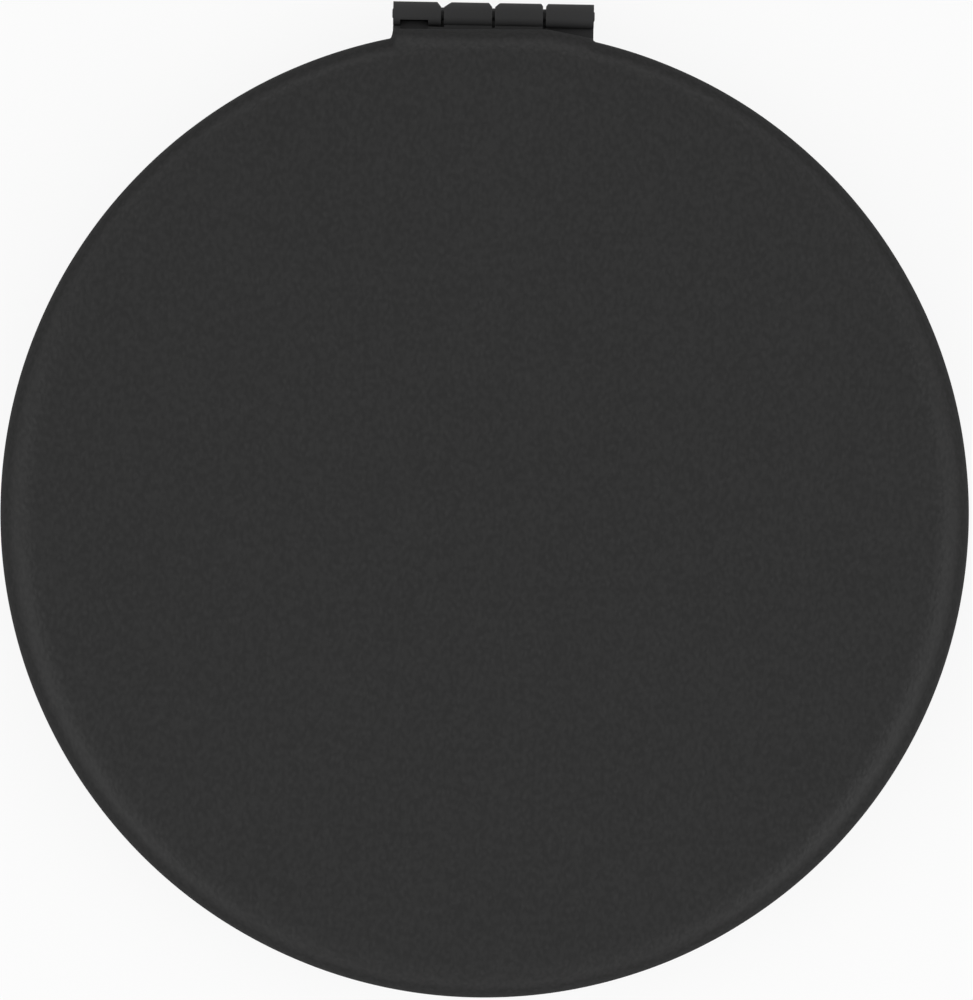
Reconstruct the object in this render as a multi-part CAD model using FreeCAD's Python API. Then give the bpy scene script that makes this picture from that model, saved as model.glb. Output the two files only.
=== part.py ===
import FreeCAD, Part
import math
import os
from collections import namedtuple

from FreeCAD import Vector

# A round compact mirror, closed: two padded halves on a rolled hinge.
# Millimetres. The origin is the middle of the base's outer face, +Z is up,
# the hinge is at +Y and the halves open at -Y.

# Case
case_diameter = 63.5
split_gap = 0.1

# Cover, turned in round the rim of each half
cover_thickness = 0.8
fold_inner_radius = 0.1
upright_height = 0.1
hem_width = 2.2

# Pad and pressed shell under the cover
foam_thickness = 0.7
bond_film = 0.03
shell_sheet = 0.4

# Mirrors and the tape behind them
glass_thickness = 1.2
glass_bevel = 0.15
magnifier_radius = 1000.0
magnifier_tape = 0.2
tape_margin = 1.0
mirror_clearance = 0.1

# Bezels, which hold the mirrors' rims and cover the hems
bezel_thickness = 0.45
bezel_overlap = 0.8
bezel_bevel = 0.25
bezel_setback = 0.1
bezel_edge_bevel = 0.12
skirt_wall = 0.7

# Closing magnets, cradled behind the bezels at the front
magnet_length = 5.0
magnet_width = 1.4
magnet_height = 1.2
magnet_bevel = 0.15
magnet_clearance = 0.1
cradle_wall = 0.5

# Hinge: a flat land on each half, a rolled leaf in each half and one pin
hinge_width = 13.2
land_proud = 0.04
barrel_gap = 0.235
knuckle_gap = 0.2
knuckle_cut = 0.3
pin_diameter = 0.7
pin_clearance = 0.03
pin_proud = 0.06
pin_end_radius = 0.12
leaf_sheet = 0.3
roll_spread = 0.1
roll_corner = 0.5
roll_seam = 0.15
leaf_setback = 0.02
leaf_clearance = 0.1
lip_overlap = 0.5
window_reach = 0.45
curl_sheet = 0.2
curl_clearance = 0.11
foot_clearance = 0.25
foot_length = 4.2
plate_setback = 0.2

# Rivets through the leaves' feet and the shells
rivet_diameter = 1.0
rivet_head_diameter = 1.8
rivet_head_height = 0.35
rivet_edge = 1.6
rivet_end = 1.4
rivet_clearance = 0.05

# How far a cutting tool runs past the piece that it cuts
overrun = 0.5
corner_overrun = 0.02

# Shares, counts and angles
cradle_root_share = 0.5
rivet_crown_share = 0.8
neck_share = 0.25
curl_start = 172.0
curl_wrap = 111.0
full_turn = 360.0
half_turn = 180.0
quarter_turn = 90.0

# The knuckles' far corners are cut off at the slits between them. For each slit, from the left:
# the cut's length on its left and on its right and the cut's depth, as shares of knuckle_cut
slit_cut_shares = ((0.9, 1.65, 1.2), (0.77, 1.1, 1.0), (0.45, 0.45, 0.7))
knuckle_count = len(slit_cut_shares) + 1

# Along the hinge from its middle, as shares of hinge_width: the ends of the window over the first knuckle's
# neck, which is cut through the lid leaf's lip and the knuckle's near side, and the lip's right end
window_shares = (-0.465, -0.325)
lip_end_share = 0.27

# Sizes that follow from those above
case_radius = case_diameter / 2
land_reach = case_radius + land_proud
fold_radius = cover_thickness + fold_inner_radius
shell_inset = cover_thickness + bond_film
shell_inner_inset = shell_inset + shell_sheet
hem_low = bezel_thickness
hem_high = hem_low + cover_thickness
hem_radius = case_radius - hem_width
wall_end = hem_low + fold_radius
glass_back = bezel_thickness + glass_thickness

cradle_end = magnet_length / 2 + magnet_clearance + cradle_wall
magnet_reach = math.sqrt(hem_radius**2 - cradle_end**2) - magnet_clearance
skirt_outer = magnet_reach - magnet_width - magnet_clearance
skirt_inner = skirt_outer - skirt_wall
mirror_radius = skirt_inner - mirror_clearance
bezel_opening = mirror_radius - bezel_overlap
bezel_radius = case_radius - fold_radius - bezel_setback

pin_radius = pin_diameter / 2
bore_radius = pin_radius + pin_clearance
barrel_rise = bore_radius + leaf_sheet
barrel_reach = barrel_rise + roll_spread
roll_hollow = barrel_reach - leaf_sheet
axis_y = land_reach + barrel_gap + barrel_reach
axis_height = -split_gap / 2
web_low = leaf_setback
web_high = leaf_setback + leaf_sheet
knuckle_pitch = (hinge_width + knuckle_gap) / knuckle_count
knuckle_length = knuckle_pitch - knuckle_gap
leaf_half_width = hinge_width / 2 - shell_inner_inset - leaf_clearance
riser_outer = land_reach - shell_inner_inset - leaf_clearance
riser_inner = riser_outer - leaf_sheet
plate_end = land_reach - plate_setback
lip_start = land_reach - lip_overlap
lip_end = axis_y - barrel_reach - leaf_clearance
neck_end = axis_y - roll_hollow - neck_share * leaf_sheet
curl_radius = barrel_reach + curl_clearance
foot_end = riser_inner - foot_length
tape_radius = foot_end - tape_margin
rivet_x = leaf_half_width - rivet_edge
rivet_y = foot_end + rivet_end

ORIGIN = Vector(0, 0, 0)
X = Vector(1, 0, 0)
Y = Vector(0, 1, 0)
Z = Vector(0, 0, 1)

# Heights in one half, measured from its split face towards its outer face
Levels = namedtuple("Levels", "floor shell_top foam_top face shoulder bend leaf_bend")


def levels(bed_depth):
    """Heights of a half whose shell floor lies bed_depth behind its mirror's rim."""
    floor = glass_back + bed_depth
    shell_top = floor + shell_sheet
    foam_top = shell_top + foam_thickness
    face = foam_top + bond_film + cover_thickness
    shoulder = face - wall_end - upright_height
    bend = shell_top - wall_end - upright_height
    leaf_bend = bend - shell_sheet - leaf_sheet
    return Levels(floor, shell_top, foam_top, face, shoulder, bend, leaf_bend)


def magnifier_drop(radius):
    """How far the magnifying mirror's middle lies below its surface at this radius."""
    return magnifier_radius - math.sqrt(magnifier_radius**2 - radius**2)


def radial(reach, height):
    """A point of a section that is turned about Z."""
    return Vector(reach, 0, height)


def across(reach, height):
    """A point of a section that is drawn out along X."""
    return Vector(0, reach, height)


def rounded_face(corners, place):
    """A face from corners of (reach, height, radius), with the corners rounded.

    place turns a reach and a height into a point in space.
    """
    points = [place(reach, height) for reach, height, _ in corners]
    starts, ends, arcs = [], [], []
    for index, (_, _, radius) in enumerate(corners):
        corner = points[index]
        back = (points[index - 1] - corner).normalize()
        ahead = (points[(index + 1) % len(points)] - corner).normalize()
        half_angle = back.getAngle(ahead) / 2
        tangent = radius / math.tan(half_angle)
        starts.append(corner + back * tangent)
        ends.append(corner + ahead * tangent)
        middle = (back + ahead).normalize() * (radius / math.sin(half_angle) - radius)
        arcs.append(corner + middle if radius else None)
    edges = []
    for index, middle in enumerate(arcs):
        if middle:
            edges.append(Part.Arc(starts[index], middle, ends[index]).toShape())
        after = (index + 1) % len(corners)
        edges.append(Part.LineSegment(ends[index], starts[after]).toShape())
    return Part.Face(Part.Wire(edges))


def turned(corners):
    """A solid of revolution about Z from (reach, height, radius) corners."""
    return rounded_face(corners, radial).revolve(ORIGIN, Z, full_turn)


def drawn_out(corners, start_x, end_x):
    """A bar along X from (reach, height, radius) corners of its section."""
    bar = rounded_face(corners, across).extrude(X * (end_x - start_x))
    return bar.translate(X * start_x)


def block(x_range, y_range, z_range):
    """A box between the two ends of each range."""
    low, high = (Vector(*ends) for ends in zip(x_range, y_range, z_range))
    size = high - low
    return Part.makeBox(size.x, size.y, size.z, low)


def joined(shapes):
    """One solid from shapes that meet."""
    return shapes[0].fuse(shapes[1:]).removeSplitter()


def half_form(inset, low, low_radius, high, high_radius):
    """The form of a half, drawn in by an inset: a round body with the flat land at its back."""

    def section(reach):
        return [(0, low, 0), (reach, low, low_radius), (reach, high, high_radius), (0, high, 0)]

    body = turned(section(case_radius - inset))
    land_half = hinge_width / 2 - inset
    land = drawn_out(section(land_reach - inset), -land_half, land_half)
    return joined([body, land])


def leaf_slot(level):
    """Room in a cover's hem for the leaf's riser and the bend at its foot."""
    width = leaf_half_width + leaf_clearance
    inner = riser_inner - leaf_clearance
    outer = riser_outer + level.leaf_bend + leaf_clearance
    return block((-width, width), (inner, outer), (-overrun, hem_high + leaf_clearance))


def make_cover(level):
    """The cover: over the face and shoulder, round the rim and in to the hem."""
    outer = half_form(0, hem_low, fold_radius, level.face, level.shoulder)
    inner_face = level.face - cover_thickness
    inner_shoulder = level.shoulder - cover_thickness
    inner = half_form(cover_thickness, hem_high, fold_inner_radius, inner_face, inner_shoulder)
    mouth_base = Vector(0, 0, hem_low - overrun)
    mouth = Part.makeCylinder(hem_radius, cover_thickness + 2 * overrun, mouth_base)
    return outer.cut([inner, mouth, leaf_slot(level)])


def make_foam(level):
    """The pad: flat on the shell, with its rim rounded to lie inside the cover's shoulder."""
    shoulder_centre = case_radius - level.shoulder
    round_radius = level.shoulder - shell_inset
    rise = level.shell_top - (level.face - level.shoulder)
    rim = shoulder_centre + math.sqrt(round_radius**2 - rise**2)
    low_angle = math.asin(rise / round_radius)
    middle_angle = (low_angle + math.radians(quarter_turn)) / 2
    middle_reach = shoulder_centre + round_radius * math.cos(middle_angle)
    middle_height = level.face - level.shoulder + round_radius * math.sin(middle_angle)
    rim_arc = Part.Arc(
        radial(rim, level.shell_top),
        radial(middle_reach, middle_height),
        radial(shoulder_centre, level.foam_top),
    )
    edges = [
        Part.LineSegment(radial(0, level.shell_top), radial(rim, level.shell_top)).toShape(),
        rim_arc.toShape(),
        Part.LineSegment(radial(shoulder_centre, level.foam_top), radial(0, level.foam_top)).toShape(),
        Part.LineSegment(radial(0, level.foam_top), radial(0, level.shell_top)).toShape(),
    ]
    pad = Part.Face(Part.Wire(edges)).revolve(ORIGIN, Z, full_turn)
    pocket_radius = rivet_head_diameter / 2 + rivet_clearance
    pocket_depth = rivet_head_height + rivet_clearance
    pocket = Part.makeCylinder(pocket_radius, pocket_depth + overrun, -Z * overrun)
    return pad.cut(at_rivets(pocket, level.shell_top))


def at_rivets(shape, height):
    """Copies of a shape at the two rivets of a leaf, at this height."""
    return [shape.translated(Vector(side * rivet_x, rivet_y, height)) for side in (-1, 1)]


def make_shell(level):
    """The pressed pan, with holes for the rivets."""
    outer = half_form(shell_inset, wall_end, 0, level.shell_top, level.bend)
    inner_bend = level.bend - shell_sheet
    inner = half_form(shell_inner_inset, wall_end - overrun, 0, level.floor, inner_bend)
    hole = Part.makeCylinder(rivet_diameter / 2, shell_sheet + 2 * overrun, -Z * overrun)
    return outer.cut([inner] + at_rivets(hole, level.floor))


def make_rivets(level):
    """Two rivets: heads under the pad, shanks peened flush with the leaf's foot."""
    shank = rivet_diameter / 2
    head = rivet_head_diameter / 2
    foot_side = level.floor - leaf_sheet
    crown = level.shell_top + rivet_head_height
    corners = [
        (0, foot_side, 0),
        (shank, foot_side, 0),
        (shank, level.shell_top, 0),
        (head, level.shell_top, 0),
        (head, crown, rivet_crown_share * rivet_head_height),
        (0, crown, 0),
    ]
    return Part.makeCompound(at_rivets(turned(corners), 0))


def knuckle_span(slot):
    """The ends along X of the knuckle in a slot, counted from the left."""
    start_x = -hinge_width / 2 + slot * knuckle_pitch
    return start_x, start_x + knuckle_length


def ring_sector(inner_radius, outer_radius, start, wrap):
    """Section of sheet bent round the hinge's axis, from a start angle on through a wrap."""

    def on_ring(radius, angle):
        turn = math.radians(angle)
        return across(axis_y + radius * math.cos(turn), axis_height + radius * math.sin(turn))

    def ring_arc(radius):
        ends = (on_ring(radius, start), on_ring(radius, start - wrap))
        return Part.Arc(ends[0], on_ring(radius, start - wrap / 2), ends[1]).toShape(), ends

    inner, inner_ends = ring_arc(inner_radius)
    outer, outer_ends = ring_arc(outer_radius)
    first, last = (Part.LineSegment(*run).toShape() for run in zip(inner_ends, outer_ends))
    return Part.Face(Part.Wire([inner, last, outer, first]))


def along_hinge(face, start_x, end_x):
    """A bar along the hinge from its section."""
    return face.extrude(X * (end_x - start_x)).translate(X * start_x)


def knuckle_corner(end_x, inwards, length, depth):
    """The wedge cut from a knuckle's far corner at end_x, so long and deep; inwards is 1 or -1 along X."""
    far_y = axis_y + barrel_reach
    low = axis_height - barrel_rise - corner_overrun
    slope = depth / length

    def in_plan(along, reach):
        return Vector(end_x + inwards * along, reach, low)

    corners = [
        in_plan(-corner_overrun, far_y - depth - corner_overrun * slope),
        in_plan(-corner_overrun, far_y + corner_overrun),
        in_plan(length + corner_overrun / slope, far_y + corner_overrun),
    ]
    wedge = Part.Face(Part.makePolygon(corners + corners[:1]))
    return wedge.extrude(Z * 2 * (barrel_rise + corner_overrun))


def slit_corners(slot, slit_shares):
    """The wedges cut from the corners of the knuckle in a slot, at each slit beside it."""
    start_x, end_x = knuckle_span(slot)
    wedges = []
    if slot > 0:
        _, length_share, depth_share = slit_shares[slot - 1]
        wedges.append(knuckle_corner(start_x, 1, length_share * knuckle_cut, depth_share * knuckle_cut))
    if slot < len(slit_shares):
        length_share, _, depth_share = slit_shares[slot]
        wedges.append(knuckle_corner(end_x, -1, length_share * knuckle_cut, depth_share * knuckle_cut))
    return wedges


def oblong(reach, rise, radius):
    """A rounded oblong about the hinge's axis, reaching so far along Y and rising so far either way."""
    near, far = axis_y - reach, axis_y + reach
    low, high = axis_height - rise, axis_height + rise
    corners = [(near, low, radius), (far, low, radius), (far, high, radius), (near, high, radius)]
    return rounded_face(corners, across)


def roll_section():
    """Section of a knuckle: the sheet rolled flat round the pin, open at a seam beside its root."""
    roll = oblong(barrel_reach, barrel_rise, roll_corner)
    roll = roll.cut(oblong(roll_hollow, bore_radius, roll_corner - leaf_sheet))
    near, far = axis_y - barrel_reach - overrun, axis_y - bore_radius
    low, high = web_low - roll_seam, web_low
    seam = [(near, low, 0), (far, low, 0), (far, high, 0), (near, high, 0)]
    return roll.cut(rounded_face(seam, across)).Faces[0]


def make_knuckle(slot, slit_shares):
    """One knuckle, rolled round the pin, with its corners cut off, and the neck that joins it to the plate."""
    span = knuckle_span(slot)
    roll = along_hinge(roll_section(), *span)
    neck = block(span, (lip_start, neck_end), (web_low, web_high))
    return [neck, roll.cut(slit_corners(slot, slit_shares))]


def make_lip(start_x, end_x):
    """The strip of a leaf's plate that shows between the rim and the barrel."""
    return block((start_x, end_x), (lip_start, lip_end), (web_low, web_high))


def window(side, end_y, low, high):
    """Room for the window over the first knuckle's neck; side is 1 in the lid's own frame, -1 in the base's."""
    ends = sorted(side * share * hinge_width for share in window_shares)
    return block(ends, (plate_end, end_y), (low, high))


def make_lid_lip():
    """The lid leaf's lip, with a window over the first knuckle's neck."""
    lip = make_lip(-hinge_width / 2, lip_end_share * hinge_width)
    return lip.cut(window(1, axis_y, -overrun, web_high + overrun))


def make_base_lip():
    """The base leaf's lip, the whole hinge wide and curled under the barrel."""
    ends = (-hinge_width / 2, hinge_width / 2)
    section = ring_sector(curl_radius, curl_radius + curl_sheet, curl_start, curl_wrap)
    return joined([make_lip(*ends), along_hinge(section, *ends)])


def make_leaf(level, lip, slots, slit_shares):
    """A hinge leaf: foot on the shell's floor, riser, plate out past the rim, lip and knuckles."""
    bend_inner = level.leaf_bend
    bend_outer = bend_inner + leaf_sheet
    foot_side = level.floor - leaf_sheet
    corners = [
        (plate_end, web_high, 0),
        (riser_outer, web_high, bend_inner),
        (riser_outer, level.floor, bend_outer),
        (foot_end, level.floor, 0),
        (foot_end, foot_side, 0),
        (riser_inner, foot_side, bend_inner),
        (riser_inner, web_low, bend_outer),
        (plate_end, web_low, 0),
    ]
    pieces = [drawn_out(corners, -leaf_half_width, leaf_half_width), lip]
    for slot in slots:
        pieces += make_knuckle(slot, slit_shares)
    hole = Part.makeCylinder(rivet_diameter / 2, leaf_sheet + 2 * overrun, -Z * overrun)
    return joined(pieces).cut(at_rivets(hole, foot_side))


def make_flat_mirror():
    """A round flat mirror with ground edges."""
    corners = [
        (0, bezel_thickness, 0),
        (mirror_radius - glass_bevel, bezel_thickness, 0),
        (mirror_radius, bezel_thickness + glass_bevel, 0),
        (mirror_radius, glass_back - glass_bevel, 0),
        (mirror_radius - glass_bevel, glass_back, 0),
        (0, glass_back, 0),
    ]
    return turned(corners)


def bowl_arc(rim_radius, rim_height):
    """The magnifier's curve from the axis out to a point at its rim, as an edge and its ends."""
    deepest = rim_height + magnifier_drop(rim_radius)
    middle_radius = rim_radius / 2
    ends = (radial(0, deepest), radial(rim_radius, rim_height))
    middle = radial(middle_radius, deepest - magnifier_drop(middle_radius))
    return Part.Arc(ends[0], middle, ends[1]).toShape(), ends


def closed_turn(edges, points):
    """A solid turned about Z from edges, closed by straight runs through the points in order."""
    runs = [Part.LineSegment(*run).toShape() for run in zip(points, points[1:])]
    wire = Part.Wire(Part.__sortEdges__(edges + runs))
    return Part.Face(wire).revolve(ORIGIN, Z, full_turn)


def make_magnifier():
    """A slumped mirror, hollow towards the split face, with ground edges."""
    rim = mirror_radius - glass_bevel
    front, front_ends = bowl_arc(rim, bezel_thickness)
    back, back_ends = bowl_arc(rim, glass_back)
    edge_low = radial(mirror_radius, bezel_thickness + glass_bevel)
    edge_high = radial(mirror_radius, glass_back - glass_bevel)
    runs = [front_ends[1], edge_low, edge_high, back_ends[1]]
    axis_run = Part.LineSegment(back_ends[0], front_ends[0]).toShape()
    return closed_turn([front, back, axis_run], runs)


def make_flat_tape(level):
    """The tape disc behind the flat mirror."""
    return Part.makeCylinder(tape_radius, level.floor - glass_back, Z * glass_back)


def make_bowl_tape(level):
    """The tape behind the magnifier, pressed to the glass's curve."""
    bowl_rise = magnifier_drop(mirror_radius - glass_bevel) - magnifier_drop(tape_radius)
    top, top_ends = bowl_arc(tape_radius, glass_back + bowl_rise)
    runs = [top_ends[1], radial(tape_radius, level.floor), radial(0, level.floor), top_ends[0]]
    return closed_turn([top], runs)


def make_bezel(level):
    """The trim ring: a flat flange notched for the leaf, a skirt round the mirror and the magnet's cradle."""
    skirt_end = level.floor - leaf_sheet - leaf_clearance
    corners = [
        (bezel_opening, bezel_bevel, 0),
        (bezel_opening + bezel_bevel, 0, 0),
        (bezel_radius - bezel_edge_bevel, 0, 0),
        (bezel_radius, bezel_edge_bevel, 0),
        (bezel_radius, bezel_thickness, 0),
        (skirt_outer, bezel_thickness, 0),
        (skirt_outer, skirt_end, 0),
        (skirt_inner, skirt_end, 0),
        (skirt_inner, bezel_thickness, 0),
        (bezel_opening, bezel_thickness, 0),
    ]
    cradle_root = skirt_inner + cradle_root_share * skirt_wall
    cradle_y = (-magnet_reach, -cradle_root)
    cradle_z = (bezel_thickness, bezel_thickness + magnet_height)
    cradle_x = (magnet_length / 2 + magnet_clearance, cradle_end)
    right_rib = block(cradle_x, cradle_y, cradle_z)
    left_rib = block((-cradle_x[1], -cradle_x[0]), cradle_y, cradle_z)
    ring = joined([turned(corners), right_rib, left_rib])
    width = leaf_half_width + leaf_clearance
    notch_y = (riser_inner - leaf_clearance, axis_y)
    notch = block((-width, width), notch_y, (-overrun, bezel_thickness + overrun))
    return ring.cut(notch)


def make_magnet():
    """A bar magnet with eased edges, on the back of the bezel's flange."""
    half = magnet_length / 2
    y_range = (-magnet_reach, -magnet_reach + magnet_width)
    bar = block((-half, half), y_range, (bezel_thickness, bezel_thickness + magnet_height))
    return bar.makeChamfer(magnet_bevel, bar.Edges)


def make_pin():
    """The hinge pin, domed where its ends stand out of the outer knuckles."""
    half = hinge_width / 2 + pin_proud
    corners = [
        (0, -half, 0),
        (pin_radius, -half, pin_end_radius),
        (pin_radius, half, pin_end_radius),
        (0, half, 0),
    ]
    pin = turned(corners)
    pin.rotate(ORIGIN, Y, quarter_turn)
    return pin.translate(Vector(0, axis_y, axis_height))


def half_pieces(level, leaf, mirror, tape):
    """The pieces of one half, by name, with the split face at height 0."""
    return {
        "cover": make_cover(level),
        "foam_pad": make_foam(level),
        "shell": make_shell(level),
        "hinge_leaf": leaf,
        "hinge_rivets": make_rivets(level),
        "mirror_tape": tape,
        "mirror": mirror,
        "bezel": make_bezel(level),
        "magnet": make_magnet(),
    }


def main():
    """Builds both halves and the pin, and writes each piece."""
    lid_level = levels(leaf_sheet + foot_clearance)
    base_level = levels(magnifier_drop(mirror_radius - glass_bevel) + magnifier_tape)
    last_slot = knuckle_count - 1
    turned_shares = [(right, left, depth) for left, right, depth in reversed(slit_cut_shares)]
    lid_leaf = make_leaf(lid_level, make_lid_lip(), range(1, last_slot), slit_cut_shares)
    base_leaf = make_leaf(base_level, make_base_lip(), [0, last_slot], turned_shares)
    base_leaf = base_leaf.cut(window(-1, axis_y - window_reach, -barrel_rise - overrun, web_low))
    lid = half_pieces(lid_level, lid_leaf, make_flat_mirror(), make_flat_tape(lid_level))
    base = half_pieces(base_level, base_leaf, make_magnifier(), make_bowl_tape(base_level))
    lid_rise = Z * (base_level.face + split_gap)
    nodes = {"hinge_pin": make_pin().translate(lid_rise)}
    for name, shape in lid.items():
        nodes["lid_" + name] = shape.translate(lid_rise)
    for name, shape in base.items():
        shape.rotate(ORIGIN, Y, half_turn)
        nodes["base_" + name] = shape.translate(Z * base_level.face)
    os.makedirs("parts", exist_ok=True)
    for name, shape in nodes.items():
        shape.exportStep("parts/" + name + ".step")
        print(name, len(shape.Solids), "valid" if shape.isValid() else "NOT VALID", round(shape.Volume, 3))
    axis_z = base_level.face - axis_height
    print("hinge axis at y", axis_y, "z", axis_z, "closed height", base_level.face + split_gap + lid_level.face)


main()
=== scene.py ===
"""A round compact mirror in a dark grey leather-look cover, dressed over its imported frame.

Metres, +Z up, the hinge at +Y. The closed case lies on its base, on a floor at z = 0.
"""

from __future__ import annotations

import logging
import math
from abc import ABC, abstractmethod
from dataclasses import dataclass, field
from enum import Enum
from typing import Callable, Iterable, Sequence, Union

import bmesh
import bpy
from mathutils import Matrix, Vector, noise


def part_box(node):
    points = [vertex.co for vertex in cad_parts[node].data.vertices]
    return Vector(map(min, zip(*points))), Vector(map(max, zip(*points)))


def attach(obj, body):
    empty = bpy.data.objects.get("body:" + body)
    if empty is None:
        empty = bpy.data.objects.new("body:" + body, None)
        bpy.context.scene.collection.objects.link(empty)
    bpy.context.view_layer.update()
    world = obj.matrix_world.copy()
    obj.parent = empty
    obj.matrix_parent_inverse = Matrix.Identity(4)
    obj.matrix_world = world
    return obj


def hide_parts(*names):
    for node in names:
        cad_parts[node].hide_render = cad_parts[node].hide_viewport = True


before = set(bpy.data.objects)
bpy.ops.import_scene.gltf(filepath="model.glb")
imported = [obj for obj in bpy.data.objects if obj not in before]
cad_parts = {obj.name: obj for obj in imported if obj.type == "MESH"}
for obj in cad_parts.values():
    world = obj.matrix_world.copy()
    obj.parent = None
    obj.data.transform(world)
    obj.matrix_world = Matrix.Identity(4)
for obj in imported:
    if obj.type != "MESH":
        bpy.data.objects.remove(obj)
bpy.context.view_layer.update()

log = logging.getLogger("compact_mirror")

Colour = tuple[float, float, float]
Span = tuple[float, float]
Socket = bpy.types.NodeSocket
Feed = Union[Socket, float, Sequence[float]]


def smooth_step(value: float) -> float:
    """Eases a value that is held between 0 and 1."""
    held = min(max(value, 0.0), 1.0)
    return held * held * (3.0 - 2.0 * held)


def soft_noise(place: Vector) -> float:
    """Smooth noise at a place, from 0 to 1."""
    return 0.5 + 0.5 * noise.noise(place)


def put_in_scene(thing: bpy.types.Object) -> None:
    """Links an object into the scene."""
    bpy.context.scene.collection.objects.link(thing)


class Half(Enum):
    """The two halves of the case, which are also the two moving bodies."""

    LID = "lid"
    BASE = "base"

    @property
    def outward(self) -> int:
        """The direction along Z from the split to this half's outer face."""
        return 1 if self is Half.LID else -1

    def node(self, piece: str) -> str:
        """The name of this half's node for a piece."""
        return f"{self.value}_{piece}"


class Grain(Enum):
    """How a plain finish's surface is broken up."""

    CELLS = "cells"
    MOTTLE = "mottle"


class NodeGraph:
    """A node tree, with short calls to add and join its nodes."""

    def __init__(self, tree: bpy.types.NodeTree) -> None:
        """Takes the tree that nodes are added to."""
        self.tree = tree

    def add(self, kind: str, settings: dict | None = None, **inputs: Feed) -> bpy.types.Node:
        """Adds a node.

        Args:
            kind: Blender's name for the type of node.
            settings: Properties to set on the node.
            inputs: Values, or sockets to join, by the input's name with _ for a space.

        Returns:
            The new node.
        """
        node = self.tree.nodes.new(kind)
        for key, value in (settings or {}).items():
            setattr(node, key, value)
        for key, value in inputs.items():
            self.feed(node.inputs[key.replace("_", " ")], value)
        return node

    def feed(self, socket: Socket, value: Feed) -> None:
        """Gives a socket a value, or joins another socket to it."""
        if isinstance(value, Socket):
            self.tree.links.new(value, socket)
        elif socket.type == "RGBA":
            socket.default_value = (*value, 1.0)
        else:
            socket.default_value = value

    def math(self, operation: str, first: Feed, second: Feed = 0.0) -> Socket:
        """The result of a sum on two sockets or numbers."""
        node = self.add("ShaderNodeMath", {"operation": operation})
        self.feed(node.inputs[0], first)
        self.feed(node.inputs[1], second)
        return node.outputs["Value"]

    def vector_math(self, operation: str, first: Feed, second: Feed) -> bpy.types.Node:
        """Adds a sum on two vectors, or on a vector and the number that it is scaled by."""
        node = self.add("ShaderNodeVectorMath", {"operation": operation})
        self.feed(node.inputs[0], first)
        self.feed(node.inputs["Scale" if operation == "SCALE" else 1], second)
        return node

    def upward(self, vector: Socket) -> Socket:
        """The part of a vector along Z."""
        return self.add("ShaderNodeSeparateXYZ", Vector=vector).outputs["Z"]

    def ramp(self, value: Feed, span: Span, low: float = 0.0, high: float = 1.0) -> Socket:
        """A value eased from one level to another across a span, and held beyond its ends."""
        node = self.add(
            "ShaderNodeMapRange",
            {"interpolation_type": "SMOOTHSTEP"},
            Value=value,
            From_Min=span[0],
            From_Max=span[1],
            To_Min=low,
            To_Max=high,
        )
        return node.outputs["Result"]

    def blend(self, share: Feed, first: Feed, second: Feed) -> Socket:
        """A number between two, by a share from 0 to 1."""
        node = self.add("ShaderNodeMix", {"data_type": "FLOAT"})
        for index, value in ((0, share), (2, first), (3, second)):
            self.feed(node.inputs[index], value)
        return node.outputs[0]

    def colour_mix(self, share: Feed, first: Feed, second: Feed) -> Socket:
        """A colour between two, by a share from 0 to 1."""
        node = self.add("ShaderNodeMix", {"data_type": "RGBA"})
        for index, value in ((0, share), (6, first), (7, second)):
            self.feed(node.inputs[index], value)
        return node.outputs[2]


class MaterialGraph(NodeGraph):
    """The node tree of a new material, round its principled shader."""

    def __init__(self, name: str) -> None:
        """Makes the material.

        Args:
            name: The material's name.
        """
        self.material = bpy.data.materials.new(name)
        self.material.use_nodes = True
        super().__init__(self.material.node_tree)
        self.shader = self.tree.nodes["Principled BSDF"]
        self.place = self.add("ShaderNodeTexCoord").outputs["Object"]

    def set(self, **values: Feed) -> None:
        """Sets or joins the shader's own sockets, by name with _ for a space."""
        for key, value in values.items():
            self.feed(self.shader.inputs[key.replace("_", " ")], value)

    def flatness(self) -> Socket:
        """How nearly the surface lies level: 1 where it faces up or down, 0 where it faces sideways."""
        normal = self.add("ShaderNodeTexCoord").outputs["Normal"]
        return self.math("ABSOLUTE", self.upward(normal))

    def noise(self, pitch: float, detail: float = 2.0, place: Socket | None = None) -> Socket:
        """Soft noise, from 0 to 1, whose patches are about a pitch across."""
        spot = place or self.place
        return self.add("ShaderNodeTexNoise", Vector=spot, Scale=1.0 / pitch, Detail=detail).outputs["Fac"]

    def cells(self, pitch: float, feature: str, place: Socket | None = None) -> Socket:
        """Distances in a pattern of cells a pitch across."""
        spot = place or self.place
        node = self.add("ShaderNodeTexVoronoi", {"feature": feature}, Vector=spot, Scale=1.0 / pitch)
        return node.outputs["Distance"]

    def shifted(self, pitch: float, shift: float) -> Socket:
        """The surface's place, pushed about by noise so that a pattern isn't regular."""
        push = self.add("ShaderNodeTexNoise", Vector=self.place, Scale=1.0 / pitch)
        scaled = self.vector_math("SCALE", push.outputs["Color"], shift)
        return self.vector_math("ADD", self.place, scaled.outputs["Vector"]).outputs["Vector"]

    def stretched(self, place: Socket, factors: tuple[float, float, float]) -> Socket:
        """A place with each axis multiplied, so that a pattern is drawn out or closed up along it."""
        return self.vector_math("MULTIPLY", place, factors).outputs["Vector"]

    def shaded(self, colour: Socket, share: Feed) -> Socket:
        """A colour darkened to a share of itself."""
        return self.vector_math("SCALE", colour, share).outputs["Vector"]

    def bump(self, height: Socket, depth: float, strength: Feed = 1.0) -> None:
        """Gives the shader a relief of this depth, in metres, from a height of 0 to 1."""
        node = self.add("ShaderNodeBump", Height=height, Distance=depth, Strength=strength)
        self.set(Normal=node.outputs["Normal"])


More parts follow.
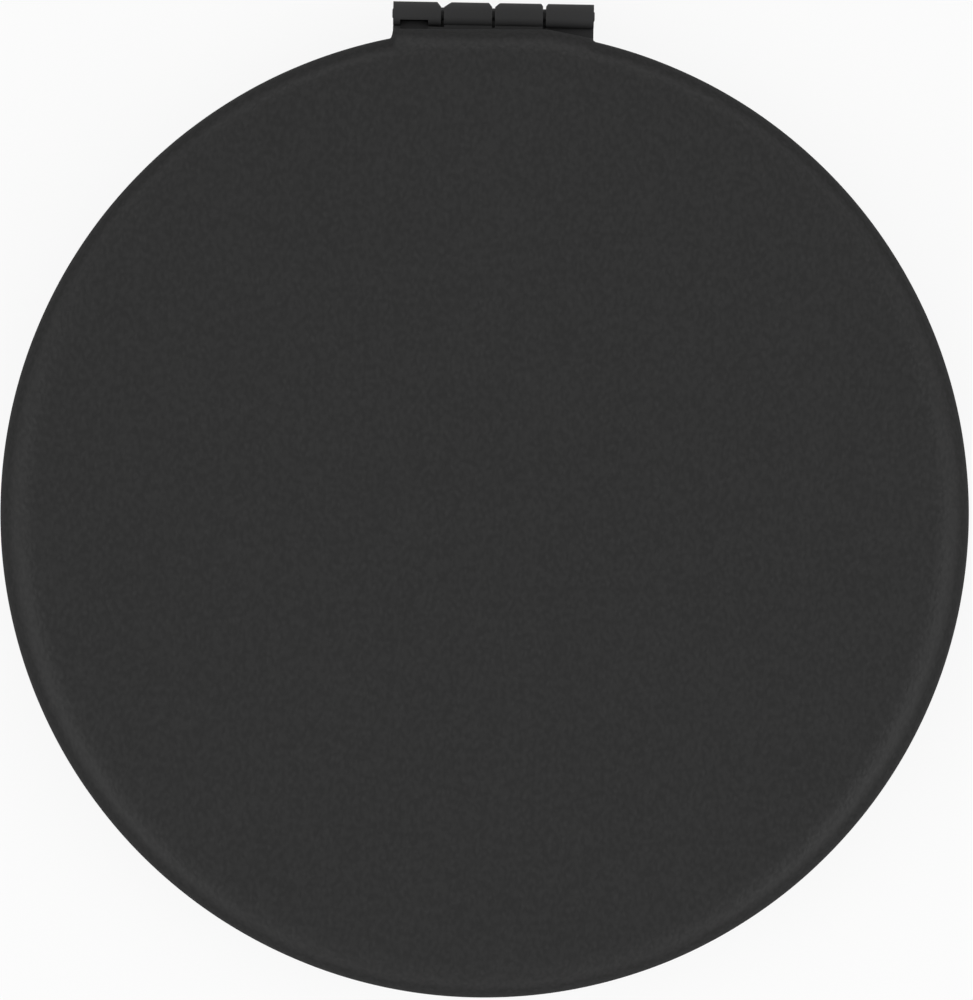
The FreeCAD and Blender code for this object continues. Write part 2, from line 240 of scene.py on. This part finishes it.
@dataclass(frozen=True)
class Finish(ABC):
    """What every finish has: a name, two colours that it varies between and a range of roughness.

    Across the rough_span of a pattern, the roughness goes from smooth to rough.
    """

    name: str
    dark: Colour
    light: Colour
    smooth: float
    rough: float
    specular: float = 0.5
    metallic: float = 0.0
    rough_span: Span = (0.3, 0.7)

    def start(self) -> MaterialGraph:
        """A graph with this finish's even values set."""
        graph = MaterialGraph(self.name)
        graph.set(Metallic=self.metallic, Specular_IOR_Level=self.specular)
        return graph

    def roughness(self, graph: MaterialGraph, pattern: Socket) -> Socket:
        """The finish's roughness, varied by a pattern."""
        return graph.ramp(pattern, self.rough_span, self.smooth, self.rough)

    @abstractmethod
    def material(self) -> bpy.types.Material:
        """Builds the finish's material."""


@dataclass(frozen=True)
class LeatherFinish(Finish):
    """Leather-look sheet with a fine pebble grain.

    Over the shoulder it is drawn taut, so the grain fades there, and it is scuffed; its colour there is
    also darkened a little as painted shade.
    """

    pebble: float = 0.00034
    crease_share: float = 0.5
    lump: float = 0.0003
    lump_span: Span = (0.2, 0.8)
    lump_share: float = 0.6
    draw: tuple[float, float, float] = (1.05, 0.74, 1.0)
    pore: float = 0.00007
    pore_share: float = 0.12
    patch: float = 0.006
    patch_share: float = 0.12
    wander: float = 0.0009
    wander_shift: float = 0.00025
    relief: float = 0.00008
    strength: float = 0.5
    taut_strength: float = 0.12
    taut_span: Span = (0.7, 0.97)
    scuffed: float = 1.0
    scuff_span: Span = (0.58, 0.9)
    rim_painted_shade: float = 0.94
    rim_painted_shade_span: Span = (0.55, 0.95)

    def material(self) -> bpy.types.Material:
        """Builds the pebbled leather."""
        graph = self.start()
        flat = graph.flatness()
        place = graph.stretched(graph.shifted(self.wander, self.wander_shift), self.draw)
        edge = graph.cells(self.pebble, "DISTANCE_TO_EDGE", place)
        pebble = graph.ramp(edge, (0.0, self.crease_share))
        lumps = graph.ramp(graph.noise(self.lump, detail=0.0, place=place), self.lump_span)
        pores = graph.noise(self.pore, detail=3.0)
        patches = graph.noise(self.patch, detail=4.0)
        grain = graph.blend(self.lump_share, pebble, lumps)
        height = graph.blend(self.pore_share, grain, pores)
        tone = graph.blend(self.patch_share, grain, patches)
        dull = graph.ramp(flat, self.scuff_span, self.scuffed, self.smooth)
        # Painted shade: the colour is darkened a little towards the rim, where the surface turns from
        # level.
        painted_rim_darkening = graph.ramp(flat, self.rim_painted_shade_span, self.rim_painted_shade, 1.0)
        graph.set(
            Base_Color=graph.shaded(graph.colour_mix(tone, self.dark, self.light), painted_rim_darkening),
            Roughness=graph.math("MAXIMUM", dull, self.roughness(graph, patches)),
        )
        graph.bump(height, self.relief, graph.ramp(flat, self.taut_span, self.taut_strength, self.strength))
        return graph.material


@dataclass(frozen=True)
class CoatFinish(Finish):
    """Paint or a dark coat on metal, a little worn through along the edges, its colour darkened in the
    recesses as painted shade.
    """

    peel: float = 0.00022
    speck: float = 0.00005
    relief: float = 0.000004
    edge_width: float = 0.00005
    edge_samples: int = 6
    edge_span: Span = (0.8, 0.99)
    bare: Colour = (0.2, 0.2, 0.2)
    wear_span: Span = (0.45, 0.65)
    wear_share: float = 0.35
    # Painted shade in slits and hollows: how far the occlusion looks, its samples, its span and its darkest
    # level.
    painted_shade_reach: float = 0.0012
    painted_shade_samples: int = 8
    painted_shade_span: Span = (0.4, 0.85)
    painted_shade_level: float = 0.15

    def material(self) -> bpy.types.Material:
        """Builds the coat."""
        graph = self.start()
        peel = graph.noise(self.peel)
        speck = graph.noise(self.speck, detail=3.0)
        coat = graph.colour_mix(speck, self.dark, self.light)
        worn = graph.math(
            "MULTIPLY", self.edges(graph), graph.ramp(peel, self.wear_span, 0.0, self.wear_share)
        )
        # Painted shade: the base colour is darkened in slits and hollows by ambient occlusion.
        graph.set(
            Base_Color=graph.shaded(graph.colour_mix(worn, coat, self.bare), self.painted_recess_shade(graph)),
            Roughness=self.roughness(graph, speck),
        )
        graph.bump(peel, self.relief)
        return graph.material

    def edges(self, graph: MaterialGraph) -> Socket:
        """A pattern that is 1 along the edges and 0 away from them."""
        rounded = graph.add("ShaderNodeBevel", {"samples": self.edge_samples}, Radius=self.edge_width)
        normal = graph.add("ShaderNodeNewGeometry").outputs["Normal"]
        facing = graph.vector_math("DOT_PRODUCT", rounded.outputs["Normal"], normal)
        return graph.ramp(facing.outputs["Value"], self.edge_span, 1.0, 0.0)

    def painted_recess_shade(self, graph: MaterialGraph) -> Socket:
        """Painted shade: a pattern that is 1 in the open and falls to a darker level in slits and hollows,
        by ambient occlusion.
        """
        hollow = graph.add(
            "ShaderNodeAmbientOcclusion",
            {"samples": self.painted_shade_samples, "only_local": True},
            Distance=self.painted_shade_reach,
        )
        return graph.ramp(hollow.outputs["AO"], self.painted_shade_span, self.painted_shade_level, 1.0)


@dataclass(frozen=True)
class GrainFinish(Finish):
    """A plain material with a fine surface: moulded plastic, foam, tape or bare metal."""

    grain: Grain = Grain.MOTTLE
    pitch: float = 0.00015
    cell_span: Span = (0.1, 0.6)
    patch: float = 0.004
    patch_share: float = 0.5
    relief: float = 0.00001

    def material(self) -> bpy.types.Material:
        """Builds the material."""
        graph = self.start()
        if self.grain is Grain.CELLS:
            fine = graph.ramp(graph.cells(self.pitch, "F1"), self.cell_span)
        else:
            fine = graph.noise(self.pitch, detail=3.0)
        patches = graph.noise(self.patch, detail=3.0)
        tone = graph.blend(self.patch_share, fine, patches)
        graph.set(
            Base_Color=graph.colour_mix(tone, self.dark, self.light),
            Roughness=self.roughness(graph, patches),
        )
        graph.bump(fine, self.relief)
        return graph.material


@dataclass(frozen=True)
class MirrorFinish(Finish):
    """Silvered glass: clear over its faces, with faint smears, and ground dull round its edge."""

    rough_span: Span = (0.4, 0.75)
    smear: float = 0.009
    ground: float = 0.45
    edge_span: Span = (0.9, 0.98)
    edge_tint: Colour = (0.35, 0.46, 0.42)

    def material(self) -> bpy.types.Material:
        """Builds the mirror."""
        graph = self.start()
        edge = graph.ramp(graph.flatness(), self.edge_span, 1.0, 0.0)
        smears = graph.noise(self.smear, detail=5.0)
        silver = graph.colour_mix(smears, self.dark, self.light)
        graph.set(
            Base_Color=graph.colour_mix(edge, silver, self.edge_tint),
            Roughness=graph.blend(edge, self.roughness(graph, smears), self.ground),
        )
        return graph.material


LEATHER = LeatherFinish(
    "cover_leather",
    dark=(0.0246, 0.0246, 0.0246),
    light=(0.0359, 0.0359, 0.0359),
    smooth=0.40,
    rough=0.46,
    specular=0.125,
)
HINGE_COAT = CoatFinish(
    "hinge_black_metal",
    dark=(0.0375, 0.0375, 0.038),
    light=(0.0458, 0.0458, 0.0463),
    smooth=0.60,
    rough=0.72,
    specular=0.12,
)
SHELL_COAT = CoatFinish(
    "shell_steel",
    dark=(0.018, 0.018, 0.019),
    light=(0.026, 0.026, 0.027),
    smooth=0.35,
    rough=0.5,
    peel=0.0004,
)
BEZEL_PLASTIC = GrainFinish(
    "bezel_plastic",
    dark=(0.012, 0.012, 0.0125),
    light=(0.02, 0.02, 0.0205),
    smooth=0.34,
    rough=0.46,
    specular=0.45,
)
PAD_FOAM = GrainFinish(
    "pad_foam",
    dark=(0.05, 0.05, 0.052),
    light=(0.12, 0.12, 0.122),
    smooth=0.85,
    rough=0.95,
    specular=0.2,
    grain=Grain.CELLS,
    pitch=0.0003,
    relief=0.00008,
)
TAPE_FOAM = GrainFinish(
    "tape_foam",
    dark=(0.62, 0.62, 0.60),
    light=(0.78, 0.78, 0.76),
    smooth=0.7,
    rough=0.85,
    specular=0.3,
    grain=Grain.CELLS,
    pitch=0.0002,
    relief=0.00003,
)
RIVET_STEEL = GrainFinish(
    "rivet_steel",
    dark=(0.36, 0.36, 0.37),
    light=(0.5, 0.5, 0.51),
    smooth=0.3,
    rough=0.42,
    metallic=1.0,
)
MAGNET_NICKEL = GrainFinish(
    "magnet_nickel",
    dark=(0.6, 0.58, 0.54),
    light=(0.7, 0.68, 0.64),
    smooth=0.16,
    rough=0.26,
    metallic=1.0,
)
MIRROR_GLASS = MirrorFinish(
    "mirror_glass",
    dark=(0.86, 0.88, 0.875),
    light=(0.9, 0.915, 0.91),
    smooth=0.01,
    rough=0.045,
    metallic=1.0,
)


@dataclass(frozen=True)
class Hinge:
    """How far the hinge and the lid's leaf reach to either side, read from the frame."""

    half_width: float
    leaf_half_width: float

    @classmethod
    def from_frame(cls) -> Hinge:
        """Reads the widths from the two leaves."""
        base_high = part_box("base_hinge_leaf")[1]
        lid_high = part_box("lid_hinge_leaf")[1]
        return cls(base_high[0], lid_high[0])


@dataclass
class LandOutline:
    """The case's outline in plan: a circle with the flat land that carries the hinge.

    The land swells out of the circle by a rise, which dies away over a flare at each end. Its
    edge can run a little askew, and its right end be drawn in, as where a skin is pulled tight.
    """

    radius: float
    reach: float
    half_width: float
    flare: float = 0.00035
    flare_steps: int = 9
    slant_start: float = 0.0036
    slant: float = 0.0
    skew: float = 0.0

    def rise(self, angle: float) -> float:
        """How far the outline stands out of the circle at an angle from +X."""
        if math.sin(angle) <= 0.0:
            return 0.0
        across = self.reach / math.tan(angle) if math.cos(angle) else 0.0
        past = (abs(across) - self.half_width) / self.flare
        if past >= 1.0:
            return 0.0
        beyond = across - self.slant_start
        drawn = self.slant * beyond if beyond > 0.0 else -self.skew * beyond
        back = max((self.reach - drawn) / math.sin(angle) - self.radius, 0.0)
        return back if past <= 0.0 else back * (1.0 - past) ** 2

    def angles(self, count: int, extra: Iterable[float]) -> list[float]:
        """Angles round the case, closer together at the land's ends.

        Args:
            count: How many even steps go round.
            extra: Further angles that have to be met.

        Returns:
            The angles in order, in radians.
        """
        found = {2.0 * math.pi * step / count for step in range(count)}
        for step in range(self.flare_steps + 1):
            across = self.half_width + self.flare * step / self.flare_steps
            angle = math.atan2(self.reach, across)
            found.update((angle, math.pi - angle))
        found.update(extra)
        return sorted(found)


@dataclass(frozen=True)
class SkinPoint:
    """One point of the cover's section: inset from the outline and height above the hem.

    Fade is how much of the land's rise the point takes, and pucker how much of the hem's gathers.
    """

    inset: float
    height: float
    fade: float
    pucker: float


def add_piece(name: str, build: Callable[[bmesh.types.BMesh], None]) -> bpy.types.Object:
    """Makes a smooth-shaded object from a function that fills its mesh.

    Args:
        name: The piece's name.
        build: Adds the vertices and faces.

    Returns:
        The object, in the scene.
    """
    shape = bmesh.new()
    build(shape)
    bmesh.ops.recalc_face_normals(shape, faces=shape.faces)
    mesh = bpy.data.meshes.new(name)
    shape.to_mesh(mesh)
    shape.free()
    mesh.shade_smooth()
    piece = bpy.data.objects.new(name, mesh)
    put_in_scene(piece)
    return piece


def ring_grid(
    shape: bmesh.types.BMesh, rows: Sequence[Sequence[Vector]], middle: Sequence[Vector]
) -> None:
    """Fills a closed form from rings of points, capped at both ends by a point.

    Args:
        shape: The mesh to fill.
        rows: Rings in order from one cap to the other, each with as many points.
        middle: The points that close the first and the last ring.
    """
    rings = [[shape.verts.new(point) for point in row] for row in rows]
    count = len(rings[0])
    for low, high in zip(rings, rings[1:]):
        for step in range(count):
            after = (step + 1) % count
            shape.faces.new((low[step], low[after], high[after], high[step]))
    for ring, point in ((rings[0], middle[0]), (rings[-1], middle[1])):
        cap = shape.verts.new(point)
        for step in range(count):
            shape.faces.new((ring[step], ring[(step + 1) % count], cap))


@dataclass
class Cover:
    """The leather-look skin of one half: face, shoulder, rim and the hem turned in behind the bezel."""

    half: Half
    hinge: Hinge
    slant: float = 0.0
    skew: float = 0.0
    thickness: float = 0.0008
    fold_inner: float = 0.0001
    upright: float = 0.0001
    hem_width: float = 0.0022
    land_fade: float = 0.0014
    slot_inset: float = 0.00078
    slot_clearance: float = 0.0001
    slot_wall: float = 0.00002
    slot_foot: float = 0.1
    ripple: float = 0.00002
    ripple_pitch: float = 0.005
    gather: float = 0.00006
    gathers_per_radian: float = 48.0
    gather_row: float = 0.7
    columns: int = 480
    hem_rows: int = 3
    fold_rows: int = 8
    shoulder_rows: int = 20
    face_rows: int = 14
    outline: LandOutline = field(init=False)
    hem_z: float = field(init=False)
    depth: float = field(init=False)

    def __post_init__(self) -> None:
        """Reads the half's size from the frame."""
        low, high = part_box(self.half.node("cover"))
        self.outline = LandOutline(
            high[0], high[1], self.hinge.half_width, slant=self.slant, skew=self.skew
        )
        self.hem_z = low[2] if self.half is Half.LID else high[2]
        self.depth = high[2] - low[2]

    @property
    def fold(self) -> float:
        """Radius of the fold at the rim, outside."""
        return self.thickness + self.fold_inner

    @property
    def shoulder(self) -> float:
        """Radius of the shoulder, outside."""
        return self.depth - self.fold - self.upright

    def section(self, peeled: float) -> list[SkinPoint]:
        """The section's points from the hem's cut edge to the face.

        Args:
            peeled: How far inside the outer surface the section runs: 0 or the thickness.

        Returns:
            The points, as many for either surface.
        """
        fold, shoulder = self.fold, self.shoulder
        top = fold + self.upright
        points = []
        for step in range(self.hem_rows):
            share = step / self.hem_rows
            points.append((self.hem_width + (fold - self.hem_width) * share, peeled, 1.0))
        for step in range(self.fold_rows + 1):
            turn = math.pi / 2.0 * (step / self.fold_rows - 1.0)
            radius = fold - peeled
            points.append((fold - radius * math.cos(turn), fold + radius * math.sin(turn), -math.sin(turn)))
        for step in range(self.shoulder_rows + 1):
            turn = math.pi / 2.0 * step / self.shoulder_rows
            radius = shoulder - peeled
            points.append((shoulder - radius * math.cos(turn), top + radius * math.sin(turn), 0.0))
        for step in range(1, self.face_rows):
            share = step / self.face_rows
            points.append((shoulder + (self.outline.radius - shoulder) * share, self.depth - peeled, 0.0))
        section = []
        for inset, height, pucker in points:
            gone = smooth_step((inset - peeled) / self.land_fade) if height > fold else 0.0
            section.append(SkinPoint(inset, height, 1.0 - gone, pucker))
        return section

    def slot_section(self, peeled: float) -> list[SkinPoint]:
        """The section where the hem is cut away for the hinge leaf's riser.

        Args:
            peeled: How far inside the outer surface the section runs: 0 or the thickness.

        Returns:
            As many points as the section elsewhere has.
        """
        fold, inset = self.fold, self.slot_inset
        count = self.hem_rows + self.fold_rows
        points = []
        for step in range(count + 1):
            share = step / count
            if peeled:
                height = fold * (self.slot_foot + (1.0 - self.slot_foot) * share)
                points.append(SkinPoint(inset, height, 1.0, 0.0))
            else:
                turn = -math.acos((fold - inset) / fold) * (1.0 - share)
                reach = fold - fold * math.cos(turn)
                points.append(SkinPoint(reach, fold + fold * math.sin(turn), 1.0, 0.0))
        return points + self.section(peeled)[count + 1:]

    def slot_angle(self) -> float:
        """How far from +Y the slot in the hem reaches, as an angle."""
        return math.atan2(self.hinge.leaf_half_width + self.slot_clearance, self.outline.reach)

    def place(self, angle: float, point: SkinPoint, peeled: float) -> Vector:
        """Where a point of the section lies at an angle round the case."""
        inset, height, outward = point.inset, point.height, self.half.outward
        if not peeled:
            row = Vector((self.gathers_per_radian * angle, self.gather_row * outward, 0.0))
            height += self.gather * soft_noise(row) * point.pucker
        radius = self.outline.radius - inset + self.outline.rise(angle) * point.fade
        spot = Vector((radius * math.cos(angle), radius * math.sin(angle), 0.0))
        if not peeled and height > self.fold:
            wave = soft_noise(spot / self.ripple_pitch + Vector((0.0, 0.0, outward)))
            spot *= 1.0 - self.ripple * wave * (1.0 - height / self.depth) / radius
            height -= self.ripple * wave * height / self.depth
        spot.z = self.hem_z + outward * height
        return spot

    def rings(self, angles: Sequence[float], peeled: float) -> list[list[Vector]]:
        """The rows of points round one surface of the skin, from the hem's edge to the face."""
        edge = self.slot_angle()
        plain, cut = self.section(peeled), self.slot_section(peeled)
        sections = [cut if abs(angle - math.pi / 2.0) < edge else plain for angle in angles]
        return [
            [self.place(angle, points[row], peeled) for angle, points in zip(angles, sections)]
            for row in range(len(plain))
        ]

    def fill(self, shape: bmesh.types.BMesh) -> None:
        """Fills the skin's mesh: from the face out to the hem's edge, and back up the inner surface."""
        edge = self.slot_angle()
        wall = self.slot_wall / self.outline.reach
        ends = [math.pi / 2.0 + side * (edge + shift) for side in (-1, 1) for shift in (-wall, wall)]
        angles = self.outline.angles(self.columns, ends)
        outer = self.rings(angles, 0.0)
        inner = self.rings(angles, self.thickness)
        middle = [
            Vector((0.0, 0.0, self.hem_z + self.half.outward * height))
            for height in (self.depth - self.ripple / 2.0, self.depth - self.thickness)
        ]
        ring_grid(shape, outer[::-1] + inner, middle)

    def build(self, finish: bpy.types.Material, pad: bpy.types.Object) -> bpy.types.Object:
        """Makes the skin, dresses it and puts it in its node's place.

        Args:
            finish: The leather.
            pad: The foam that the skin is stretched over; not used.

        Returns:
            The skin.
        """
        piece = add_piece(self.half.node("cover_skin"), self.fill)
        piece.data.materials.append(finish)
        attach(piece, self.half.value)
        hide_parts(self.half.node("cover"))
        return piece


@dataclass
class FoamPad:
    """The foam under a cover: a disc with a rounded rim and pockets over the rivets' heads."""

    cover: Cover
    columns: int = 180
    rim_rows: int = 8
    face_rows: int = 6
    film: float = 0.00003
    pocket_clearance: float = 0.00005
    sink: float = 0.00001
    pocket_sides: int = 32
    low: Vector = field(init=False)
    high: Vector = field(init=False)

    def __post_init__(self) -> None:
        """Reads the pad's size from the frame."""
        self.low, self.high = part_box(self.half.node("foam_pad"))

    @property
    def half(self) -> Half:
        """The half that the pad is in."""
        return self.cover.half

    def fill(self, shape: bmesh.types.BMesh) -> None:
        """Fills the pad's mesh from the shell's side, round the rim and over the face.

        All but the bed is sunk a little, which keeps the pad clear of the cover.
        """
        cover, outward = self.cover, self.half.outward
        bed, face = (self.low[2], self.high[2]) if outward > 0 else (self.high[2], self.low[2])
        sunk = outward * self.sink
        round_z = cover.hem_z + outward * (cover.fold + cover.upright)
        round_reach = cover.outline.radius - cover.shoulder
        round_radius = cover.shoulder - cover.thickness - self.film
        first = math.asin(abs(bed - round_z) / round_radius)
        rim = [(round_reach + round_radius * math.cos(first), bed)]
        for step in range(1, self.rim_rows + 1):
            turn = first + (math.pi / 2.0 - first) * step / self.rim_rows
            reach = round_reach + round_radius * math.cos(turn)
            rim.append((reach, round_z + outward * round_radius * math.sin(turn) - sunk))
        shares = [step / self.face_rows for step in range(1, self.face_rows)]
        rows = [(rim[0][0] * share, bed) for share in shares] + rim
        rows += [(rim[-1][0] * (1.0 - share), face - sunk) for share in shares]
        angles = [2.0 * math.pi * step / self.columns for step in range(self.columns)]
        rings = [
            [Vector((reach * math.cos(angle), reach * math.sin(angle), z)) for angle in angles]
            for reach, z in rows
        ]
        ring_grid(shape, rings, [Vector((0.0, 0.0, bed)), Vector((0.0, 0.0, face - sunk))])

    def rivet_heads(self) -> list[tuple[Vector, float, float]]:
        """The middle, radius and height above the bed of each rivet's head, read from the frame."""
        low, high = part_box(self.half.node("hinge_rivets"))
        radius = (high[1] - low[1]) / 2.0
        middle_y = (low[1] + high[1]) / 2.0
        crown, bed = (high[2], self.low[2]) if self.half is Half.LID else (low[2], self.high[2])
        middles = [Vector((side * (high[0] - radius), middle_y, bed)) for side in (-1, 1)]
        return [(middle, radius, abs(crown - bed)) for middle in middles]

    def fill_pockets(self, shape: bmesh.types.BMesh) -> None:
        """Fills the mesh of the two cutters, one over each rivet's head."""
        for middle, radius, height in self.rivet_heads():
            size = radius + self.pocket_clearance
            bmesh.ops.create_cone(
                shape,
                cap_ends=True,
                segments=self.pocket_sides,
                radius1=size,
                radius2=size,
                depth=2.0 * (height + self.pocket_clearance),
                matrix=Matrix.Translation(middle),
            )

    def cut_pockets(self, pad: bpy.types.Object) -> None:
        """Cuts the pockets over the rivets' heads out of the pad."""
        cutter = add_piece(self.half.node("pocket_cutter"), self.fill_pockets)
        cut = pad.modifiers.new("pockets", "BOOLEAN")
        cut.object = cutter
        cut.operation = "DIFFERENCE"
        cut.solver = "EXACT"
        graph = bpy.context.evaluated_depsgraph_get()
        mesh = bpy.data.meshes.new_from_object(pad.evaluated_get(graph))
        pad.modifiers.clear()
        pad.data = mesh
        bpy.data.objects.remove(cutter)

    def build(self, finish: bpy.types.Material) -> bpy.types.Object:
        """Makes the pad, dresses it and puts it in its node's place.

        Args:
            finish: The foam.

        Returns:
            The pad.
        """
        piece = add_piece(self.half.node("foam"), self.fill)
        self.cut_pockets(piece)
        piece.data.materials.clear()
        piece.data.materials.append(finish)
        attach(piece, self.half.value)
        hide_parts(self.half.node("foam_pad"))
        return piece


@dataclass
class HardParts:
    """The pieces that keep their own shape from the frame and only take a finish."""

    finishes: dict[str, Finish] = field(
        default_factory=lambda: {
            "shell": SHELL_COAT,
            "hinge_leaf": HINGE_COAT,
            "hinge_rivets": RIVET_STEEL,
            "mirror_tape": TAPE_FOAM,
            "mirror": MIRROR_GLASS,
            "bezel": BEZEL_PLASTIC,
            "magnet": MAGNET_NICKEL,
        }
    )

    def dress(self) -> list[str]:
        """Gives each node its finish, and the hinge's pin that of its leaves.

        Returns:
            The names of the nodes.
        """
        dressed = []
        for piece, finish in self.finishes.items():
            nodes = [half.node(piece) for half in Half]
            if finish is HINGE_COAT:
                nodes.append("hinge_pin")
            material = finish.material()
            for node in nodes:
                self.paint(node, material)
            dressed += nodes
        return dressed

    def paint(self, node: str, material: bpy.types.Material) -> None:
        """Puts a material on a node in place of its own."""
        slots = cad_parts[node].data.materials
        slots.clear()
        slots.append(material)


@dataclass
class StripLamp:
    """A long soft lamp between two points, which faces the middle of the case."""

    name: str
    start: Vector
    end: Vector
    width: float
    watts: float

    def build(self, target: Vector) -> None:
        """Adds the lamp, its length along the line between its ends."""
        lamp = bpy.data.lights.new(self.name, "AREA")
        lamp.shape = "RECTANGLE"
        lamp.size = self.width
        lamp.size_y = (self.end - self.start).length
        lamp.energy = self.watts
        along = (self.start - self.end).normalized()
        place = (self.start + self.end) / 2.0
        away = place - target
        away = (away - along * away.dot(along)).normalized()
        holder = bpy.data.objects.new(self.name, lamp)
        turn = Matrix((along.cross(away), along, away)).transposed()
        holder.matrix_world = Matrix.Translation(place) @ turn.to_4x4()
        put_in_scene(holder)


@dataclass
class Studio:
    """The pale floor, the soft light and the camera straight above the lid."""

    floor_half: float = 1.5
    floor_colour: Colour = (0.86, 0.86, 0.86)
    floor_rough: float = 0.9
    floor_specular: float = 0.1
    floor_glow: float = 0.88
    ambient_low: float = 0.06
    ambient_high: float = 1.38
    ambient_focus: float = 2.0
    zenith: float = 0.8
    fade_span: Span = (0.15, 0.95)
    image_width: float = 973.0
    image_height: float = 1000.0
    disc_middle: tuple[float, float] = (484.57, 513.34)
    disc_radius: float = 484.13
    roll: float = math.radians(1.03)
    lens: float = 200.0
    sensor: float = 36.0
    lamps: tuple[StripLamp, ...] = (
        StripLamp(
            "left_strip", Vector((-0.37, 0.1, 0.32)), Vector((-0.28, -0.4, 0.08)), width=0.24, watts=0.66
        ),
        StripLamp(
            "right_strip", Vector((0.37, 0.1, 0.32)), Vector((0.28, -0.4, 0.08)), width=0.24, watts=0.71
        ),
        StripLamp(
            "back_strip", Vector((-0.3, 0.42, 0.04)), Vector((0.3, 0.42, 0.04)), width=0.08, watts=0.38
        ),
    )

    def seen_directly(self, graph: NodeGraph) -> Socket:
        """A socket that is 1 for what the camera, a mirror or clear glass sees, and otherwise 0."""
        path = graph.add("ShaderNodeLightPath")
        seen = path.outputs["Is Camera Ray"]
        for name in ("Is Glossy Ray", "Is Transmission Ray"):
            seen = graph.math("MAXIMUM", seen, path.outputs[name])
        return seen

    def build_floor(self) -> None:
        """Lays the floor, which glows white to the eye and still takes the object's shadow."""
        graph = MaterialGraph("pale_floor")
        graph.set(
            Base_Color=self.floor_colour,
            Roughness=self.floor_rough,
            Specular_IOR_Level=self.floor_specular,
        )
        glow = graph.add("ShaderNodeEmission", Color=(1.0, 1.0, 1.0), Strength=1.0)
        share = graph.math("MULTIPLY", self.seen_directly(graph), self.floor_glow)
        mixed = graph.add("ShaderNodeMixShader", Fac=share)
        graph.feed(mixed.inputs[1], graph.shader.outputs["BSDF"])
        graph.feed(mixed.inputs[2], glow.outputs["Emission"])
        graph.feed(graph.tree.nodes["Material Output"].inputs["Surface"], mixed.outputs["Shader"])
        size = self.floor_half
        mesh = bpy.data.meshes.new("floor")
        corners = [(-size, -size, 0.0), (size, -size, 0.0), (size, size, 0.0), (-size, size, 0.0)]
        mesh.from_pydata(corners, [], [(0, 1, 2, 3)])
        mesh.materials.append(graph.material)
        floor = bpy.data.objects.new("floor", mesh)
        put_in_scene(floor)

    def build_world(self) -> None:
        """Sets a soft light from above, and a backdrop for the eye and for gloss.

        The light grows stronger towards the top of the sky. The backdrop is white and fades upwards.
        """
        world = bpy.data.worlds.new("studio")
        world.use_nodes = True
        bpy.context.scene.world = world
        graph = NodeGraph(world.node_tree)
        graph.tree.nodes.clear()
        upward = graph.upward(graph.add("ShaderNodeTexCoord").outputs["Generated"])
        above = graph.add("ShaderNodeClamp", Value=upward).outputs["Result"]
        overhead = graph.math("POWER", above, self.ambient_focus)
        light = graph.blend(overhead, self.ambient_low, self.ambient_high)
        backdrop = graph.add(
            "ShaderNodeMapRange",
            Value=upward,
            From_Min=self.fade_span[0],
            From_Max=self.fade_span[1],
            To_Min=1.0,
            To_Max=self.zenith,
        )
        level = graph.blend(self.seen_directly(graph), light, backdrop.outputs["Result"])
        sky = graph.add("ShaderNodeBackground", Strength=level)
        graph.add("ShaderNodeOutputWorld", Surface=sky.outputs["Background"])

    def build_camera(self, disc_size: float, rim_z: float) -> None:
        """Puts the camera over the lid so that the disc falls where the photograph has it.

        Args:
            disc_size: The disc's real radius.
            rim_z: The height at which the disc is widest.
        """
        data = bpy.data.cameras.new("camera")
        data.lens = self.lens
        data.sensor_width = self.sensor
        pixel = disc_size / self.disc_radius
        distance = self.lens / self.sensor * self.image_height * pixel
        right = (self.image_width / 2.0 - self.disc_middle[0]) * pixel
        up = (self.disc_middle[1] - self.image_height / 2.0) * pixel
        turn = Matrix.Rotation(self.roll, 3, "Z")
        camera = bpy.data.objects.new("camera", data)
        camera.location = turn @ Vector((right, up, 0.0)) + Vector((0.0, 0.0, rim_z + distance))
        camera.rotation_euler = (0.0, 0.0, self.roll)
        put_in_scene(camera)
        bpy.context.scene.camera = camera

    def build(self, disc_size: float, rim_z: float) -> None:
        """Sets up the floor, the world, the lamps and the camera."""
        self.build_floor()
        self.build_world()
        for lamp in self.lamps:
            lamp.build(Vector((0.0, 0.0, rim_z)))
        self.build_camera(disc_size, rim_z)
        bpy.context.scene.view_settings.view_transform = "Standard"


def main() -> None:
    """Builds the pieces in order and reports each."""
    logging.basicConfig(level=logging.INFO, format="%(name)s: %(message)s")
    hinge = Hinge.from_frame()
    leather = LEATHER.material()
    foam = PAD_FOAM.material()
    lid = Cover(Half.LID, hinge, slant=0.18, skew=0.0127)
    base = Cover(Half.BASE, hinge)
    for cover in (lid, base):
        pad = FoamPad(cover).build(foam)
        log.info("pad %s, %d faces", pad.name, len(pad.data.polygons))
        skin = cover.build(leather, pad)
        log.info("skin %s, %d faces", skin.name, len(skin.data.polygons))
    for name in HardParts().dress():
        log.info("finish on %s", name)
    Studio().build(lid.outline.radius, lid.hem_z + lid.fold)


if __name__ == "__main__":
    main()
